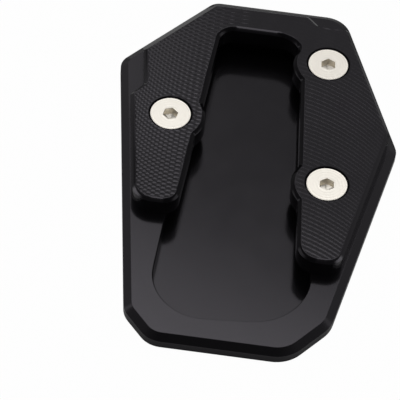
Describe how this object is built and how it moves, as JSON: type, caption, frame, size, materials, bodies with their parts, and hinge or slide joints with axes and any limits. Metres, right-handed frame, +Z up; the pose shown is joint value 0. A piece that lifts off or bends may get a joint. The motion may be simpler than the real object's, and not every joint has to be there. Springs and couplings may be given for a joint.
{
  "type": "kickstand foot enlarger",
  "caption": "Flat octagonal foot that widens a motorcycle side stand: a pocketed base plate and a textured horseshoe clamp plate held by countersunk hex-socket screws.",
  "frame": {"origin": "on the ground, under the middle of the base plate's box", "axes": "+Z up from the ground, +Y to the back where the stand's leg leans in, +X to the right seen from the front"},
  "size_m": [0.0853, 0.1304, 0.0125],
  "materials": {
    "base_finish": "black anodised, semi-gloss",
    "clamp_finish": "black anodised over a machined diamond texture, with smooth chamfers",
    "screw_steel": "turned stainless steel"
  },
  "bodies": {
    "root": {"base_plate": "base_finish", "clamp_plate": "clamp_finish", "clamp_screws": "screw_steel"}
  },
  "joints": []
}
